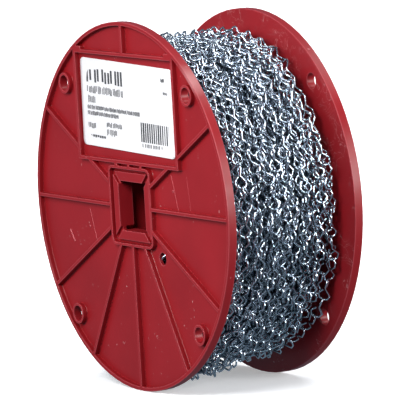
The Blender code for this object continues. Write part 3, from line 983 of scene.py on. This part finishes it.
class ChainReelSettings(bpy.types.PropertyGroup):
    """Sizes and colours of the reel, its chain, its label and the studio."""

    plastic_color: color_setting("Plastic", "Colour of the moulded plastic", (0.27, 0.010, 0.0145))
    # The scuff colour also paints the highlight on the labelled rim.
    scuff_and_highlight_color: color_setting("Scuffs", "Colour of the small scuffs on the plastic", (0.62, 0.34, 0.34))
    gloss: FloatProperty(
        name="Plastic Roughness", description="Roughness of the plastic", default=0.36, min=0.05, max=0.9)
    # Painted shade in the corners of the moulding: its colour, and below, how far it reaches.
    painted_corner_shade_color: color_setting(
        "Crevices", "Colour of the plastic in its corners, where no pale sheen reaches", (0.20, 0.003, 0.005))
    painted_corner_shade_width: length_setting(
        "Crevice Width", "How far from a corner the shade reaches", 5.0 * MM, min=0.5 * MM)
    # Paler outward corners: rubbed wear together with a painted highlight along the crests.
    wear_and_highlight_color: color_setting(
        "Worn Plastic", "Colour of the plastic where its outward corners are rubbed", (0.55, 0.13, 0.15))
    wear_and_highlight: FloatProperty(
        name="Edge Wear", description="How much of the worn colour outward corners take", subtype="FACTOR",
        default=0.5, min=0.0, max=1.0)
    wear_and_highlight_width: length_setting(
        "Edge Wear Width", "How far the wear reaches from an outward corner", 0.7 * MM, min=0.1 * MM)
    crest_rounding: length_setting(
        "Crest Rounding", "Bevel on the outward corners of the moulding", 0.25 * MM, min=0.05 * MM,
        max=0.6 * MM)
    foot_fillet: length_setting(
        "Foot Fillet", "Fillet where a rib or wall meets the web", 0.4 * MM, min=0.05 * MM, max=0.8 * MM)
    fillet_steps: IntProperty(
        name="Fillet Steps", description="Faces across each rounded corner", default=2, min=1, max=4)
    mould_dot: length_setting(
        "Mould Dot", "Radius of the round marks of the mould", 0.9 * MM, min=0.3 * MM, max=2.0 * MM)

    wire: length_setting("Wire", "Diameter of the chain's wire", 1.25 * MM, min=1.0 * MM, max=2.5 * MM)
    wire_sides: IntProperty(
        name="Wire Sides", description="Faces round the wire", default=5, min=3, max=8)
    link_pitch: length_setting(
        "Link Pitch", "Distance from one link to the next", 13.7 * MM, min=8.0 * MM, max=20.0 * MM)
    loop_width: length_setting(
        "Loop Width", "Width of a loop along the middle of its wire", 6.8 * MM, min=3.0 * MM, max=8.0 * MM)
    turns: IntProperty(
        name="Turns", description="Turns of chain across the reel in one layer", default=16, min=6, max=20)
    layer_depth: length_setting(
        "Layer Depth", "Distance from one layer of turns to the next", 4.2 * MM, min=2.0 * MM, max=8.0 * MM)
    start_radius: length_setting(
        "First Turn Radius", "Distance of the first turns from the axis", 39.6 * MM, min=34.0 * MM,
        max=60.0 * MM)
    wander: length_setting(
        "Wander", "How far the chain swings across the reel", 3.6 * MM, min=0.0, max=6.0 * MM)
    kink: length_setting(
        "Kink", "How far each joint lies off the chain's line", 2.7 * MM, min=0.0, max=5.0 * MM)
    lift: length_setting(
        "Lift", "How far the chain swings away from the axis", 1.8 * MM, min=0.0, max=4.0 * MM)
    sag_near_label: length_setting(
        "Sag near the Label", "How far the loose turns hang down there", 7.0 * MM, min=0.0, max=8.4 * MM)
    sag_far_side: length_setting(
        "Sag on the Far Side", "How far the loose turns hang down there", 0.0, min=0.0, max=8.4 * MM)
    roll: angle_setting("Roll", "How far each link rolls at random", 28, min=0.0, max=math.pi)
    twist: angle_setting("Twist", "How far the strand twists along its length", 25, min=0.0, max=math.pi)
    seed: IntProperty(name="Seed", description="Seed of every random value", default=5, min=0)
    zinc_color: color_setting("Zinc", "Colour of the zinc plate", (0.82, 0.89, 0.97))
    # Painted shade: the dark colour that the deeper layers and the buried bed take.
    painted_deep_shade_color: color_setting(
        "Buried Zinc", "Colour of the wire that lies deep in the winding", (0.045, 0.08, 0.13))
    zinc_gloss: FloatProperty(
        name="Zinc Roughness", description="Roughness of the zinc plate", default=0.12, min=0.08, max=0.8)

    label_corner: length_setting(
        "Label Corner", "Radius of the label's corners", 3.2 * MM, min=0.5 * MM, max=8.0 * MM)
    label_lift: length_setting(
        "Label Lift", "How far the label's edges lift from the web", 0.15 * MM, min=0.0, max=1.0 * MM)
    paper_color: color_setting("Paper", "Colour of the label's paper", (0.75, 0.735, 0.745))
    ink_color: color_setting("Print", "Colour of the label's print", (0.022, 0.022, 0.026))

    floor_color: color_setting("Floor", "Colour of the studio floor", (0.90, 0.90, 0.91))
    floor_glow: FloatProperty(
        name="Floor Glow", description="Strength of the light from under the floor, as on a light table",
        default=0.35, min=0.0)
    floor_radius: length_setting("Floor Radius", "Radius of the studio floor", 8.0, min=1.0)
    world_color: color_setting("Surroundings", "Colour of the light from all round", (0.62, 0.82, 1.0))
    world_strength: FloatProperty(
        name="Surroundings Strength", description="Strength of the light from all round",
        default=0.24, min=0.0)
    key_power: power_setting("Key Light", "Power of the light between the label and the camera", 0.53)
    front_power: power_setting("Front Light", "Power of the light in front of the label", 1.45)
    side_power: power_setting("Side Light", "Power of the light to the camera's right", 0.15)
    chain_power: power_setting("Chain Light", "Power of the broad light that the wires mirror", 2.2)
    rim_power: power_setting("Rim Light", "Power of the light high behind the reel", 0.55)
    wash_power: power_setting("Floor Wash", "Power of the light over the floor behind", 11.0)
    wash_spread: angle_setting(
        "Floor Wash Spread", "How wide the floor wash spreads", 45, min=math.radians(20), max=math.pi)
    wash_distance: length_setting(
        "Floor Wash Distance", "How far behind the reel the floor wash hangs", 1.9, min=0.0)
    lens: FloatProperty(
        name="Focal Length", description="Focal length of the camera in millimetres", unit="CAMERA",
        default=450.0, min=20.0)
    distance: length_setting("Distance", "From the camera to the reel's middle", 2.872, min=0.5)
    azimuth: angle_setting("Azimuth", "How far the camera stands to the label's right", 58.81)
    elevation: angle_setting("Elevation", "How far the camera looks down", 6.92)
    camera_roll: angle_setting("Camera Roll", "Turn of the camera about its view", -3.36)
    aim_right: length_setting("Aim Right", "Shift of the camera to its right", 1.917 * MM)
    aim_up: length_setting("Aim Up", "Shift of the camera upwards", -1.046 * MM)


class CHAINREEL_OT_flanges(bpy.types.Operator):
    """Build the two moulded flanges with their half barrels, and the marks of the mould on their webs"""

    bl_idname = "chain_reel.flanges"
    bl_label = "Flanges"

    def execute(self, context):
        settings = context.scene.chain_reel
        plastic = new_material("red_plastic", plastic_look, settings)
        for name, node in (("front_moulding", "front_flange"), ("back_moulding", "back_flange")):
            build_flange(name, node, settings, plastic)
        for name, turn in (("front_mould_marks", 0.0), ("back_mould_marks", math.pi)):
            build_mould_marks(name, turn, settings, plastic)
        return {"FINISHED"}


class CHAINREEL_OT_turns(bpy.types.Operator):
    """Wind the layers of jack chain that show"""

    bl_idname = "chain_reel.turns"
    bl_label = "Turns of Chain"

    def execute(self, context):
        build_turns(context.scene.chain_reel)
        return {"FINISHED"}


class CHAINREEL_OT_core(bpy.types.Operator):
    """Build the bed of buried turns under the layers that show"""

    bl_idname = "chain_reel.core"
    bl_label = "Buried Turns"

    def execute(self, context):
        build_core(context.scene.chain_reel)
        return {"FINISHED"}


class CHAINREEL_OT_label(bpy.types.Operator):
    """Build the paper label"""

    bl_idname = "chain_reel.label"
    bl_label = "Label"

    def execute(self, context):
        build_label(context.scene.chain_reel)
        return {"FINISHED"}


class CHAINREEL_OT_print(bpy.types.Operator):
    """Lay the generic print on the label"""

    bl_idname = "chain_reel.print"
    bl_label = "Label Print"

    def execute(self, context):
        build_print(context.scene.chain_reel)
        return {"FINISHED"}


class CHAINREEL_OT_stage(bpy.types.Operator):
    """Set up the floor, the lights and the camera"""

    bl_idname = "chain_reel.stage"
    bl_label = "Studio"

    def execute(self, context):
        build_stage(context.scene.chain_reel)
        return {"FINISHED"}


class CHAINREEL_PT_panel(bpy.types.Panel):
    """Lists the pieces of the reel and the values that a user can change"""

    bl_label = "Reel of Jack Chain"
    bl_idname = "CHAINREEL_PT_panel"
    bl_space_type = "VIEW_3D"
    bl_region_type = "UI"
    bl_category = "Chain Reel"

    def draw(self, context):
        layout = self.layout
        for operator in OPERATORS:
            layout.operator(operator.bl_idname)
        settings = context.scene.chain_reel
        column = layout.column()
        for name in settings.__annotations__:
            column.prop(settings, name)


OPERATORS = (
    CHAINREEL_OT_flanges, CHAINREEL_OT_turns, CHAINREEL_OT_core,
    CHAINREEL_OT_label, CHAINREEL_OT_print, CHAINREEL_OT_stage,
)
CLASSES = (ChainReelSettings, *OPERATORS, CHAINREEL_PT_panel)


def register():
    for cls in CLASSES:
        bpy.utils.register_class(cls)
    bpy.types.Scene.chain_reel = PointerProperty(type=ChainReelSettings)


def unregister():
    del bpy.types.Scene.chain_reel
    for cls in reversed(CLASSES):
        bpy.utils.unregister_class(cls)


def main():
    register()
    bpy.ops.chain_reel.stage()
    bpy.ops.chain_reel.flanges()
    bpy.ops.chain_reel.turns()
    bpy.ops.chain_reel.core()
    bpy.ops.chain_reel.label()
    bpy.ops.chain_reel.print()


if __name__ == "__main__":
    main()
